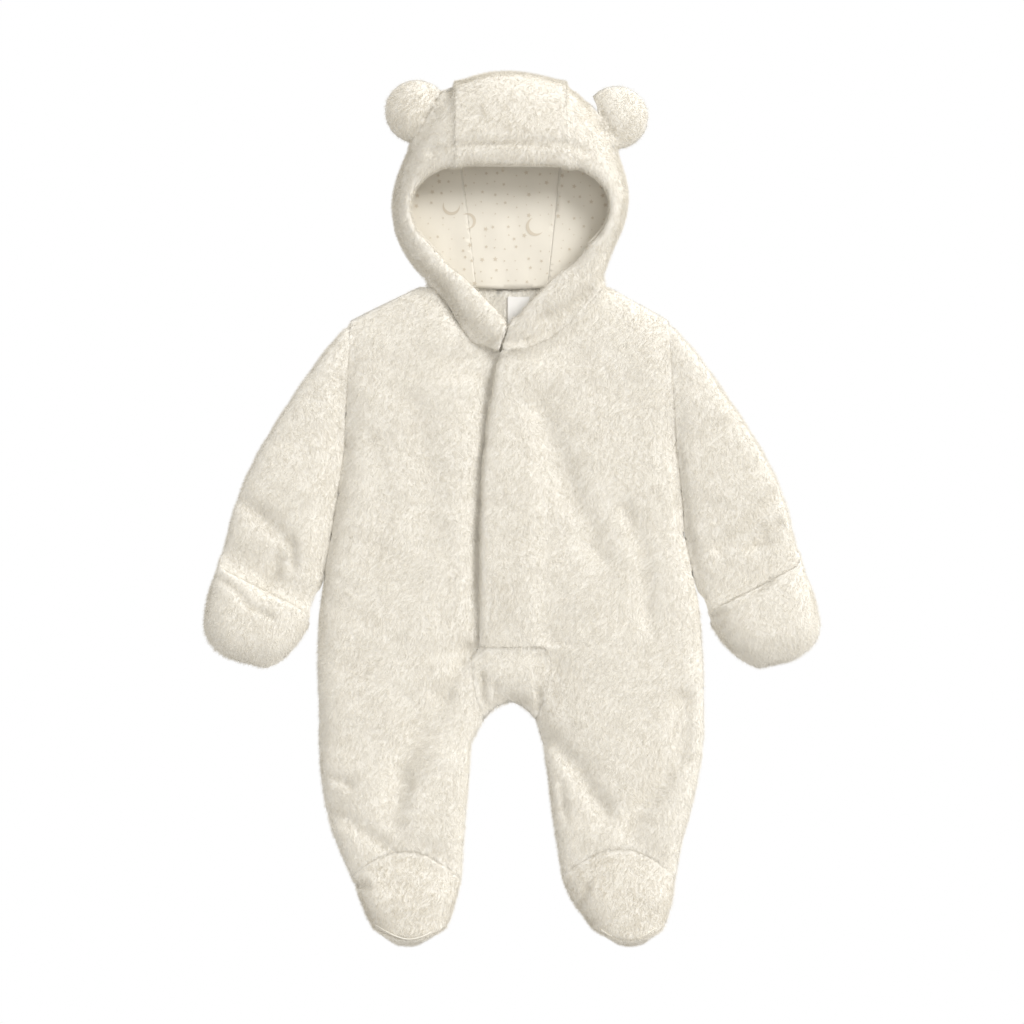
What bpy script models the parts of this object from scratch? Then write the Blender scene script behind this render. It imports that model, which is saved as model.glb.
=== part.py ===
"""A baby's footed all-in-one of plush, with a hood, two ears, fold-over mitts and closed feet, laid flat.

Every cut piece is a wall between an outer and an inner grid of points, worked out from the tables below:
a row for each section, from the side of the garment to its middle. It lies face up. Right and left are the
wearer's, so the right side is at -X. Tables are in millimetres, seen from above: X across, Y towards the
hood, Z up from the surface it lies on.
"""

import math
from collections import namedtuple

import bmesh
import bpy
from mathutils import Vector

MM = 0.001
WALL = 11.0  # plush: an 8 mm pile on a backing and its jersey lining
LINING = 1.5  # jersey in the hood
SEAM = 0.2  # each side of a seam stands back by this
SEAM_LEVEL = 12.5  # height of the side seams, halfway up two layers of plush
FOOT_PUFF = 5.5  # how much higher the feet stand than the legs
EDGE_ROLL = 14.0  # how far in from an edge the plush reaches its full height
CROWN = 2.5  # how much a wide panel puffs up in its middle
CROWN_REACH = 45.0  # how far from an edge the puff grows
FOOT_START = -305.0  # Y where the feet start to rise
FOOT_RAMP = 40.0
SLEEVE_SLIT = 0.4  # half the gap between a sleeve's layers at its edges
UNDER_HOLLOW = 1.5  # how far below the seam level a sleeve's lower layer starts
HOLLOW = 2.5  # highest inner surface over the seam level: the layers lie on each other
UPPER_EDGE = SEAM_LEVEL + 0.15  # the two layers stand 0.3 mm apart at the side seams
LOWER_EDGE = SEAM_LEVEL - 0.15
SEAM_DIP = 4.0  # depth of the groove that a sewn seam pulls into the pile
SEAM_DIP_WIDTH = 7.0
LAP_WALL = 5.5  # thickness of the under front where the overlap presses its pile flat
LAP_GAP = 0.8  # clearance of the overlap over the pressed front
LAP_END = 16.0  # X of the hidden edge of the under front
LAP_RAMP = 10.0  # width of the slope into the pressed strip
LAP_RISE = 3.0  # how much the overlap stands over the front beside it
FREE_EDGE = 6.0  # rounding of an edge that lies free on top
CUFF_WALL = 6.5  # thickness of the sleeve's upper layer inside the mitt
MITT_TOP = 30.0  # height of the mitt's upper layer, which holds the folded layers under it
TOE_GAP = 0.35  # gap between the upper and the lip of the sole, in plan
EAR_LEVEL = 23.0  # height of the ear's edge seam
EAR_HALF = 12.0  # thickness of one layer of the ear
EAR_ROLL = 13.0
NECK_SEAM_TOP = 21.5  # height of the hood where it meets the front at the neck seam
CUFF_START = 6  # row of the sleeve from which it is pressed under the mitt

PLUSH = ("plush", (0.80, 0.75, 0.66), 0.95)
JERSEY = ("printed jersey", (0.82, 0.78, 0.69), 0.85)
TAPE = ("label tape", (0.90, 0.89, 0.87), 0.6)

Row = namedtuple("Row", "side_x side_y mid_x mid_y bow", defaults=(0.0,))
BackRow = namedtuple("BackRow", "side_x side_y knee_x knee_y mid_x mid_y")
HoodRow = namedtuple("HoodRow", "rim_x rim_y edge_x edge_y roll")
NeckRow = namedtuple("NeckRow", "rim_x rim_y neck_x neck_y roll")
Crease = namedtuple("Crease", "points depth width")

# Front, wearer's right, from the shoulder to the ankle. The middle runs down the neck seam, the hidden edge
# of the overlap, the side of the gusset and the inseam. bow raises the middle of a row.
FRONT_RIGHT = [
    Row(-140, 166, -80, 196),
    Row(-140.6, 150, -67.5, 192.5),
    Row(-141.5, 132, -56, 179),
    Row(-142.5, 113, -46, 161),
    Row(-143.4, 95, -34, 145),
    Row(-143.9, 86, -14, 138.4),
    Row(-144.4, 77, LAP_END, 136.5),
    Row(-145.5, 57, LAP_END, 105),
    Row(-151, 14, LAP_END, 60),
    Row(-157, -22, LAP_END, 15),
    Row(-163, -56, LAP_END, -30),
    Row(-168, -89, LAP_END, -75),
    Row(-169, -112, LAP_END, -119.2),
    Row(-169, -118, -28.6, -119.2),
    Row(-169, -128, -35.4, -128),
    Row(-169, -145, -34.6, -146),
    Row(-168.5, -165, -31, -165),
    Row(-168, -183, -24, -183),
    Row(-168, -204, -35.5, -204),
    Row(-166.5, -232, -37, -232),
    Row(-162, -260, -39.5, -260),
    Row(-153, -290, -42, -290),
    Row(-140, -320, -44, -322, 24),
]

# Front, wearer's left: the middle runs down the neck seam and the overlapping edge.
FRONT_LEFT = [
    Row(136.5, 166, 83.5, 198),
    Row(137.3, 150, 79, 191),
    Row(138.5, 132, 66, 177),
    Row(139.7, 113, 52, 163),
    Row(140.9, 95, 36, 150),
    Row(142, 77, 16, 140.5),
    Row(143.5, 57, -13, 138),
    Row(148.5, 14, -20, 100),
    Row(150, -22, -25, 55),
    Row(158, -56, -28, 5),
    Row(164.5, -89, -29, -50),
    Row(166, -112, -28.4, -119.2),
    Row(166.5, -118, 28.8, -119.2),
    Row(167, -129, 34.4, -130),
    Row(168, -145, 33.2, -148),
    Row(168, -165, 29, -165),
    Row(168, -183, 21, -183),
    Row(167.5, -204, 27, -204),
    Row(163, -232, 31.5, -232),
    Row(157, -260, 35, -260),
    Row(148, -290, 39.5, -290),
    Row(143, -320, 43.5, -320, 25),
]

# Back, wearer's right: the middle is the centre-back seam, then the crotch and the inseam. A row bends at
# its knee point.
BACK_RIGHT = [
    BackRow(-140, 166, -80, 195, 0, 191.8),
    BackRow(-140.6, 150, -80, 172, 0, 168),
    BackRow(-141.5, 132, -80, 143, 0, 140),
    BackRow(-142.7, 108, -70, 108, 0, 108),
    BackRow(-144.4, 77, -70, 77, 0, 77),
    BackRow(-145.5, 57, -70, 57, 0, 57),
    BackRow(-151, 14, -75, 14, 0, 14),
    BackRow(-157, -22, -78, -22, 0, -22),
    BackRow(-163, -56, -80, -56, 0, -56),
    BackRow(-168, -89, -84, -89, 0, -89),
    BackRow(-169, -126, -84, -126, 0, -126),
    BackRow(-168.5, -160, -84, -160, 0, -160),
    BackRow(-168.3, -168, -84, -168, 0, -168),
    BackRow(-168.2, -174, -88, -173, -13, -172.5),
    BackRow(-168, -183, -96, -183, -24, -183),
    BackRow(-168, -204, -100, -204, -35.5, -204),
    BackRow(-166.5, -232, -102, -232, -37, -232),
    BackRow(-162, -260, -101, -260, -39.5, -260),
    BackRow(-153, -290, -97, -290, -42, -290),
    BackRow(-137.5, -324, -91, -324, -44.3, -324),
]

BACK_LEFT = [
    BackRow(136.5, 166, 85, 195, 0, 191.8),
    BackRow(137.3, 150, 80, 172, 0, 168),
    BackRow(138.5, 132, 80, 143, 0, 140),
    BackRow(140, 108, 70, 108, 0, 108),
    BackRow(142, 77, 70, 77, 0, 77),
    BackRow(143.5, 57, 70, 57, 0, 57),
    BackRow(148.5, 14, 75, 14, 0, 14),
    BackRow(150, -22, 78, -22, 0, -22),
    BackRow(158, -56, 80, -56, 0, -56),
    BackRow(164.5, -89, 84, -89, 0, -89),
    BackRow(167, -126, 84, -126, 0, -126),
    BackRow(168, -160, 84, -160, 0, -160),
    BackRow(168, -168, 84, -168, 0, -168),
    BackRow(168, -174, 88, -173, 9, -172.5),
    BackRow(168, -183, 94, -183, 21, -183),
    BackRow(167.5, -204, 97, -204, 27, -204),
    BackRow(163, -232, 97, -232, 31.5, -232),
    BackRow(157, -260, 96, -260, 35, -260),
    BackRow(148, -290, 94, -290, 39.5, -290),
    BackRow(142.6, -324, 93, -324, 45, -324),
]

# Gusset, from its arched top to the crotch edge.
GUSSET = [
    Row(-27.8, -119.7, 28.2, -119.7),
    Row(-35, -128, 34, -130),
    Row(-34.2, -146, 32.8, -148),
    Row(-30.6, -165, 28.6, -165),
    Row(-23.6, -183, 20.6, -183, 15),
]

# Sleeves: side is the edge over the arm, mid the edge along the body. The first row is the armhole.
SLEEVE_RIGHT = [
    Row(-140.5, 166, -146.1, 56.5),
    Row(-156, 149, -147.9, 44),
    Row(-175, 124, -149.7, 30),
    Row(-196, 93, -151.9, 13),
    Row(-213, 66, -154.9, -5),
    Row(-228, 40, -158.3, -25),
    Row(-240, 11, -161.8, -45),
    Row(-249, -18, -165.6, -64),
    Row(-253.5, -38, -171.5, -80),
    Row(-256, -50, -176.5, -88),
    Row(-259.6, -62.2, -177.5, -97.8, -1),
]

SLEEVE_LEFT = [
    Row(137.1, 166, 144.1, 56.5),
    Row(152, 150, 145.8, 44),
    Row(171, 126, 147.5, 30),
    Row(192, 95, 149.4, 13),
    Row(209, 70, 150.2, -5),
    Row(226, 41, 151.8, -25),
    Row(238, 14, 156.5, -46),
    Row(246, -14, 160.7, -64),
    Row(250.5, -34, 165.2, -77),
    Row(253, -46, 170.6, -87),
    Row(257.2, -60.2, 174.3, -97.8, -1),
]

# Mitts, from the free edge of the fold to the tip. The back of the mitt starts where the sleeve ends.
MITT_RIGHT = [
    Row(-255, -41, -173.2, -84, -2),
    Row(-257.6, -50, -174, -90, -2),
    Row(-261.5, -62, -176, -99, -1),
    Row(-264, -70, -178.5, -105),
    Row(-267.5, -88, -184, -114),
    Row(-269, -103, -190.5, -122),
    Row(-265, -114, -197, -129),
    Row(-257, -123, -205, -135),
    Row(-246, -130, -215, -138.4),
]

MITT_LEFT = [
    Row(252, -38, 168, -82, -3),
    Row(255, -47, 170.5, -90, -2),
    Row(259, -60, 173, -99, -1),
    Row(262, -68, 176, -105),
    Row(267, -86, 181.5, -113),
    Row(270, -102, 189.5, -122),
    Row(265.5, -116, 197, -129),
    Row(257, -124, 206, -135),
    Row(246, -131, 216, -138.6),
]
CUFF_ROW = 2

# Feet, from the seam over the instep to the toe seam, and on to the tip.
FOOT_RIGHT = [
    Row(-140, -320.5, -44, -322.5, 24),
    Row(-135, -330, -46, -331, 14),
    Row(-131.5, -341, -48.5, -341, 5),
    Row(-127.5, -351, -51, -351, -2),
    Row(-125, -357, -53.5, -357, -8),
    Row(-122, -362, -56, -362, -11.5),
]
TOE_RIGHT = [
    Row(-120, -365.5, -58, -365.5, -12.5),
    Row(-116, -370.5, -62, -370.5, -13.2),
]

HEEL_RIGHT = Row(-136.8, -324.6, -44.6, -324.6)
HEEL_LEFT = Row(142, -324.6, 45.4, -324.6)

FOOT_LEFT = [
    Row(143, -320.5, 43.5, -320.5, 25),
    Row(141.5, -330, 47, -330, 14),
    Row(140.5, -341, 53, -341, 5),
    Row(138, -351, 60, -351, -2),
    Row(135.5, -358, 64.5, -357, -8),
    Row(132.5, -364, 69, -362.5, -10.5),
]
TOE_LEFT = [
    Row(130, -368, 71.5, -366, -12),
    Row(126, -373, 76, -371.5, -12),
]

# Hood: from the top of the opening round its corner, then down the neck. roll is the height of the rim.
HOOD_RIGHT = [
    HoodRow(-49, 296, -49, 373.5, 54),
    HoodRow(-60, 293, -65, 357.5, 52),
    HoodRow(-72, 287, -81, 331, 50),
    HoodRow(-81, 279, -93, 309, 48),
    HoodRow(-86, 268, -102.5, 284, 46),
    HoodRow(-86, 256, -106, 260, 45),
    HoodRow(-81, 246, -103.5, 241, 44),
    HoodRow(-73, 237, -97, 226, 42),
    HoodRow(-64, 228, -89, 213, 40),
    HoodRow(-55, 220, -81, 200, 38),
]
NECK_RIGHT = [
    NeckRow(-50, 215, -77, 198.4, 37),
    NeckRow(-43, 209, -67.3, 193.1, 37),
    NeckRow(-33, 199, -55.7, 179.3, 36),
    NeckRow(-23, 189, -45.6, 161.4, 35),
    NeckRow(-13, 179, -33.9, 145.7, 34),
    NeckRow(-1.6, 167, -10.6, 139.2, 32),
]

HOOD_LEFT = [
    HoodRow(49, 295, 47, 373.5, 54),
    HoodRow(60, 292, 63, 360, 52),
    HoodRow(71, 286, 77, 340, 50),
    HoodRow(80, 277, 88, 321, 48),
    HoodRow(84, 266, 98, 299, 46),
    HoodRow(83, 256, 104, 272, 45),
    HoodRow(78, 247, 102, 254, 44),
    HoodRow(71, 239, 96, 238, 42),
    HoodRow(63, 231, 89, 223, 40),
    HoodRow(55, 224, 85.5, 205, 38),
]
NECK_LEFT = [
    NeckRow(50, 219, 82.5, 199.4, 37),
    NeckRow(44, 214, 78.8, 191.8, 37),
    NeckRow(34, 205, 65.8, 177.5, 36),
    NeckRow(24, 195, 51.8, 163.5, 36),
    NeckRow(14, 185, 35.8, 150.5, 35),
    NeckRow(6, 175, 16, 141.2, 34),
    NeckRow(1, 166, -9, 139.6, 33),
]

HOOD_CENTRE = [
    HoodRow(-49, 296, -49, 373.5, 54),
    HoodRow(-30, 295.5, -30, 381, 56),
    HoodRow(-10, 295, -10, 384, 57),
    HoodRow(10, 295, 10, 383, 57),
    HoodRow(30, 295, 29, 379.5, 56),
    HoodRow(49, 295, 47, 373.5, 54),
]
NECK_SEAM_X = 31.0  # where the seams of the centre panel meet the neck, on the underside
SIDE_NECK_X = 44.0  # the next point out along the back neck
CORNER_X = 72.0
BACK_NECK_Y = 192.4
BACK_NECK_RISE = 0.042  # slope of the back neck towards its ends
RIM_EDGE = 7.0  # how far the edge of the rim lies below its top
SHOULDER = 0.86  # height of the hood where it turns down, as a share of the rim's
SIDE_ROLL = 17.0  # rounding of the hood's outer edge in plan

# Ears: the two ends of the base on the hood, and the radius of the round.
Ear = namedtuple("Ear", "name low high radius offset")
EARS = [
    Ear("ear_right", (-87.1, 318.6), (-60.1, 364.6), 28, 8.8),
    Ear("ear_left", (92.3, 309.8), (67.3, 362.8), 28, 11.0),
]
EAR_STAND = 1.6  # distance of the base from the straight line between its ends

LABEL = {"x": 6.0, "y": 174.0, "width": 19.0, "length": 24.0, "thick": 1.0, "level": 11.3}

# The largest folds: soft valleys, and ridges where the depth is negative.
CREASES = [
    Crease([(-39, -121), (-56, -152), (-68, -175), (-84, -196), (-97, -222), (-101, -270)], 3.5, 11),
    Crease([(-58, -218), (-95, -268)], -2.0, 10),
    Crease([(-152, -264), (-112, -290)], 2.5, 9),
    Crease([(34, -198), (57, -226), (82, -264)], 3.0, 10),
    Crease([(150, -166), (148, -214), (119, -248), (103, -276)], 3.0, 12),
    Crease([(25, 85), (50, 20), (77, -40)], 2.5, 14),
    Crease([(98, 2), (114, -35), (119, -96)], 2.0, 10),
    Crease([(-86, 92), (-70, 30), (-74, -30)], 1.8, 14),
    Crease([(228, 12), (205, -12), (181, -32)], 3.0, 9),
    Crease([(232, -12), (212, -28)], 2.5, 8),
    Crease([(-214, -66), (-206, -56), (-203, -44)], 3.0, 8),
    Crease([(-232, 6), (-196, -26)], 2.0, 10),
]

# Rows of the tables where something starts: the side below the arm, the overlap, and the crotch.
UNDERARM_RIGHT = 7
UNDERARM_LEFT = 6
UNDERARM_BACK = 5
LAP_TOP_RIGHT = 6
LAP_FOOT_RIGHT = 13
LAP_TOP_LEFT = 6
LAP_FOOT_LEFT = 12
CROTCH_RIGHT = 17
CROTCH_LEFT = 16
CROTCH_BACK = 12

NEAR_EDGE = [0.0, 1.6, 5.0, 13.0]  # distances of the first columns from an edge
MIDDLE_COLUMNS = 4
PANEL_COLUMNS = [58.0, 46.0, 34.0]  # distances of more columns of the front panels and feet from the middle


def quarter(share):
    """A quarter of a circle's rise: 0 at the edge, 1 from share 1 on."""
    inside = min(max(share, 0.0), 1.0)
    return math.sqrt(1.0 - (1.0 - inside) ** 2)


def smooth(share):
    inside = min(max(share, 0.0), 1.0)
    return inside * inside * (3.0 - 2.0 * inside)


def mix(a, b, share):
    return a + (b - a) * share


def segment_distance(x, y, start, end):
    run_x = end[0] - start[0]
    run_y = end[1] - start[1]
    along = ((x - start[0]) * run_x + (y - start[1]) * run_y) / max(run_x**2 + run_y**2, 1e-9)
    along = min(max(along, 0.0), 1.0)
    return math.hypot(x - start[0] - along * run_x, y - start[1] - along * run_y)


def line_distance(x, y, line):
    return min(segment_distance(x, y, line[k], line[k + 1]) for k in range(len(line) - 1))


def edge_distance(x, y, edges):
    return min(line_distance(x, y, line) for line in edges)


def folds(x, y):
    total = 0.0
    for crease in CREASES:
        distance = line_distance(x, y, crease.points)
        total += crease.depth * math.exp(-((distance / crease.width) ** 2))
    return total


def seam_dip(x, y, seams):
    if not seams:
        return 0.0
    return SEAM_DIP * math.exp(-((edge_distance(x, y, seams) / SEAM_DIP_WIDTH) ** 2))


def top_height(x, y, edges, seams=()):
    """Height of the upper layer's outer surface over a point."""
    distance = edge_distance(x, y, edges)
    puff = CROWN * (1.0 - math.exp(-((distance / CROWN_REACH) ** 2)))
    puff += FOOT_PUFF * smooth((FOOT_START - y) / FOOT_RAMP)
    rise = (SEAM_LEVEL + puff - folds(x, y) - seam_dip(x, y, seams)) * quarter(distance / EDGE_ROLL)
    return SEAM_LEVEL + rise


def upper_inner(top):
    """Height of the upper layer's inner surface, under an outer one at top."""
    return min(max(top - WALL, UPPER_EDGE), SEAM_LEVEL + HOLLOW, max(top, UPPER_EDGE))


def under_height(x, y, edges):
    """Height of the lower layer's outer surface: flat, and rounded up to the seam at an edge."""
    return LOWER_EDGE * (1.0 - quarter(edge_distance(x, y, edges) / EDGE_ROLL))


def lower_inner(low):
    return min(low + WALL, LOWER_EDGE)


def row_point(row, share):
    x = mix(row.side_x, row.mid_x, share)
    y = mix(row.side_y, row.mid_y, share) + 4.0 * row.bow * share * (1.0 - share)
    return x, y


def columns(row, extra=()):
    """Shares along a row: dense near both ends, with extra distances from the middle end."""
    length = math.hypot(row.mid_x - row.side_x, row.mid_y - row.side_y)
    scale = min(1.0, length / 110.0)
    near = [scale * step / length for step in NEAR_EDGE]
    far = [1.0 - share for share in reversed(near)]
    inner = sorted(1.0 - scale * step / length for step in extra)
    start = near[-1]
    end = inner[0] if inner else far[0]
    middle = [mix(start, end, (k + 1) / (MIDDLE_COLUMNS + 1)) for k in range(MIDDLE_COLUMNS)]
    return near + middle + inner + far


def row_points(row, extra=()):
    return [row_point(row, share) for share in columns(row, extra)]


def side_line(rows):
    return [(row.side_x, row.side_y) for row in rows]


def mid_line(rows):
    return [(row.mid_x, row.mid_y) for row in rows]


def row_line(row, count=10):
    return [row_point(row, k / count) for k in range(count + 1)]


# Edges and seams of the whole garment, seen from above.
SHOULDER_RIGHT = row_line(FRONT_RIGHT[0], 1)
SHOULDER_LEFT = row_line(FRONT_LEFT[0], 1)
CROTCH = row_line(GUSSET[-1])
SIDE_RIGHT = side_line(FRONT_RIGHT[UNDERARM_RIGHT:] + FOOT_RIGHT[1:] + TOE_RIGHT)
SIDE_LEFT = side_line(FRONT_LEFT[UNDERARM_LEFT:] + FOOT_LEFT[1:] + TOE_LEFT)
INSEAM_RIGHT = mid_line(FRONT_RIGHT[CROTCH_RIGHT:] + FOOT_RIGHT[1:] + TOE_RIGHT)
INSEAM_LEFT = mid_line(FRONT_LEFT[CROTCH_LEFT:] + FOOT_LEFT[1:] + TOE_LEFT)
BODY_EDGES = [
    SHOULDER_RIGHT,
    SHOULDER_LEFT,
    SIDE_RIGHT,
    SIDE_LEFT,
    INSEAM_RIGHT,
    INSEAM_LEFT,
    CROTCH,
    row_line(TOE_RIGHT[-1]),
    row_line(TOE_LEFT[-1]),
]
ARMHOLE_RIGHT = side_line(FRONT_RIGHT[: UNDERARM_RIGHT + 1])
ARMHOLE_LEFT = side_line(FRONT_LEFT[: UNDERARM_LEFT + 1])
NECK_SEAM_RIGHT = mid_line(FRONT_RIGHT[:6])
NECK_SEAM_LEFT = mid_line(FRONT_LEFT[:LAP_TOP_LEFT])
PLACKET = mid_line(FRONT_LEFT[LAP_TOP_LEFT:LAP_FOOT_LEFT])
GUSSET_RIGHT = mid_line(FRONT_RIGHT[LAP_FOOT_RIGHT : CROTCH_RIGHT + 1])
GUSSET_LEFT = mid_line(FRONT_LEFT[LAP_FOOT_LEFT : CROTCH_LEFT + 1])
GUSSET_SEAM = GUSSET_RIGHT[::-1] + GUSSET_LEFT
INSTEP_RIGHT = row_line(FOOT_RIGHT[0])
INSTEP_LEFT = row_line(FOOT_LEFT[0])
BODY_SEAMS = [
    ARMHOLE_RIGHT,
    ARMHOLE_LEFT,
    NECK_SEAM_RIGHT,
    NECK_SEAM_LEFT,
    GUSSET_SEAM,
    INSTEP_RIGHT,
    INSTEP_LEFT,
]
GUSSET_TOP = GUSSET[0].side_y


def make_material(finish):
    name, colour, roughness = finish
    material = bpy.data.materials.get(name) or bpy.data.materials.new(name)
    material.use_nodes = True
    shader = material.node_tree.nodes["Principled BSDF"]
    shader.inputs["Base Color"].default_value = (*colour, 1.0)
    shader.inputs["Roughness"].default_value = roughness
    shader.inputs["Metallic"].default_value = 0.0
    return material


def new_object(name, mesh, finish):
    mesh.materials.append(make_material(finish))
    mesh.shade_smooth()
    mesh.set_sharp_from_angle(angle=math.radians(45))
    obj = bpy.data.objects.new(name, mesh)
    garment.objects.link(obj)
    return obj


def wall_between(name, outer, inner, finish, tube=False):
    """A closed wall between two grids of points. Rows may end early. Points that meet are shared."""
    form = bmesh.new()
    outer_verts = {}
    inner_verts = {}
    for i, (outer_row, inner_row) in enumerate(zip(outer, inner)):
        for j, (a, b) in enumerate(zip(outer_row, inner_row)):
            outer_verts[i, j] = form.verts.new(Vector(a) * MM)
            together = (Vector(a) - Vector(b)).length < 0.01
            inner_verts[i, j] = outer_verts[i, j] if together else form.verts.new(Vector(b) * MM)

    def face(*corners):
        kept = list(dict.fromkeys(corners))
        for second, third in zip(kept[1:], kept[2:]):
            double = form.faces.get((kept[0], second, third))
            if double:
                form.faces.remove(double)
            else:
                form.faces.new((kept[0], second, third))

    sides = {}
    for i, row in enumerate(outer):
        for j in range(len(row) if tube else len(row) - 1):
            k = (j + 1) % len(row)
            corners = [(i, j), (i, k), (i + 1, k), (i + 1, j)]
            if any(corner not in outer_verts for corner in corners):
                continue
            face(*[outer_verts[corner] for corner in corners])
            face(*[inner_verts[corner] for corner in (corners[0], corners[3], corners[2], corners[1])])
            for start, end in zip(corners, corners[1:] + corners[:1]):
                key = frozenset((start, end))
                sides[key] = None if key in sides else (start, end)
    for side in sides.values():
        if side:
            start, end = side
            face(outer_verts[start], inner_verts[start], inner_verts[end], outer_verts[end])
    loose = [vert for vert in form.verts if not vert.link_faces]
    bmesh.ops.delete(form, geom=loose, context="VERTS")
    bmesh.ops.recalc_face_normals(form, faces=form.faces)
    mesh = bpy.data.meshes.new(name)
    form.to_mesh(mesh)
    form.free()
    return new_object(name, mesh, finish)


def layer(name, rows, finish=PLUSH):
    """A wall from rows of (x, y, outer height, inner height)."""
    outer = [[(x, y, top) for x, y, top, low in row] for row in rows]
    inner = [[(x, y, low) for x, y, top, low in row] for row in rows]
    return wall_between(name, outer, inner, finish)


def closed_at(row, ends, level):
    """The same row with its outer and inner surface brought together at the ends named."""
    result = list(row)
    for end in ends:
        x, y = row[end][:2]
        result[end] = (x, y, level, level)
    return result


def free_ends(index, underarm, crotch):
    ends = []
    if index >= underarm:
        ends.append(0)
    if index >= crotch:
        ends.append(-1)
    return ends


def body_top(x, y):
    return top_height(x, y, BODY_EDGES, BODY_SEAMS)


def placket_x(y):
    """X of the overlapping edge at a height up the front."""
    for (x0, y0), (x1, y1) in zip(PLACKET, PLACKET[1:]):
        if y1 <= y <= y0:
            return mix(x0, x1, (y0 - y) / (y0 - y1))
    return PLACKET[0][0] if y > PLACKET[0][1] else PLACKET[-1][0]


def pressed_top(x, y, reach):
    """Top of the under front: full height, then pressed flat from reach before the overlap's edge."""
    top = body_top(x, y)
    if y < GUSSET_TOP:
        return top
    share = smooth((x - placket_x(y) + LAP_RAMP + reach) / LAP_RAMP)
    return mix(top, min(top, SEAM_LEVEL + LAP_WALL), share)


def front_right():
    rows = []
    for index, row in enumerate(FRONT_RIGHT):
        extra = PANEL_COLUMNS
        if LAP_TOP_RIGHT <= index < LAP_FOOT_RIGHT:
            under = LAP_END - placket_x(row.mid_y)
            extra = [under + LAP_RAMP + 3.0, under + 1.5, under - 5.0]
        reach = 2.0
        if index in (LAP_TOP_RIGHT - 1, LAP_TOP_RIGHT, LAP_FOOT_RIGHT):
            reach = LAP_END
        if index in (LAP_TOP_RIGHT - 1, LAP_FOOT_RIGHT):
            extra = PANEL_COLUMNS[:2] + [LAP_END]
        points = []
        for x, y in row_points(row, extra):
            top = pressed_top(x, y, reach) if index else UPPER_EDGE
            points.append((x, y, top, upper_inner(top)))
        rows.append(closed_at(points, free_ends(index, UNDERARM_RIGHT, CROTCH_RIGHT), UPPER_EDGE))
    return layer("front_right", rows)


def lap_share(x, y, reach):
    """1 over the pressed strip of the under front, 0 from reach beyond its edge."""
    return smooth((LAP_END + reach - x) / 8.0) if y > GUSSET_TOP else 0.0


def front_left():
    rows = []
    for index, row in enumerate(FRONT_LEFT):
        on_lap = LAP_TOP_LEFT <= index < LAP_FOOT_LEFT
        extra = PANEL_COLUMNS
        if on_lap:
            band = LAP_END - placket_x(row.mid_y)
            extra = [band + 12.0, band + 7.5, band + 3.0]
        points = []
        for x, y in row_points(row, extra):
            top = body_top(x, y) if index else UPPER_EDGE
            low = upper_inner(top)
            at_ends = smooth((y - 90.0) / 25.0) + smooth((-95.0 - y) / 20.0)
            lifted = lap_share(x, y, 11.0 + 40.0 * at_ends)
            low = mix(low, max(low, SEAM_LEVEL + LAP_WALL + LAP_GAP), lifted)
            top = max(top + LAP_RISE * lap_share(x, y, 11.0), low)
            if on_lap:
                edge = quarter(line_distance(x, y, PLACKET) / FREE_EDGE)
                halfway = mix(low, top, 0.45)
                top = mix(halfway, top, edge)
                low = mix(halfway, low, edge)
            points.append((x, y, top, low))
        rows.append(closed_at(points, free_ends(index, UNDERARM_LEFT, CROTCH_LEFT), UPPER_EDGE))
    return layer("front_left", rows)


def crotch_gusset():
    rows = []
    for row in GUSSET:
        points = []
        for x, y in row_line(row, 8):
            top = body_top(x, y) if row is not GUSSET[-1] else UPPER_EDGE
            points.append((x, y, top, upper_inner(top)))
        rows.append(points)
    return layer("crotch_gusset", rows)


def back(name, table, side):
    """One half of the back: each row bends at its knee."""
    rows = []
    for index, row in enumerate(table):
        outside = Row(row.side_x, row.side_y, row.knee_x, row.knee_y)
        inside = Row(row.knee_x, row.knee_y, row.mid_x, row.mid_y)
        length = math.hypot(row.knee_x - row.side_x, row.knee_y - row.side_y)
        line = [row_point(outside, step / length) for step in NEAR_EDGE] + [row_point(outside, 0.5)]
        knee = len(line)
        length = math.hypot(row.mid_x - row.knee_x, row.mid_y - row.knee_y)
        line += [row_point(inside, 0.0), row_point(inside, 0.45)]
        line += [row_point(inside, 1.0 - step / length) for step in reversed(NEAR_EDGE)]
        if index <= CROTCH_BACK:
            line = [(x + side * SEAM * j / (len(line) - 1), y) for j, (x, y) in enumerate(line)]
        points = []
        for j, (x, y) in enumerate(line):
            low = under_height(x, y, BODY_EDGES)
            if index == 0 and j <= knee:
                low = LOWER_EDGE
            points.append((x, y, low, lower_inner(low)))
        rows.append(closed_at(points, free_ends(index, UNDERARM_BACK, CROTCH_BACK), LOWER_EDGE))
    return layer(name, rows)


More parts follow.
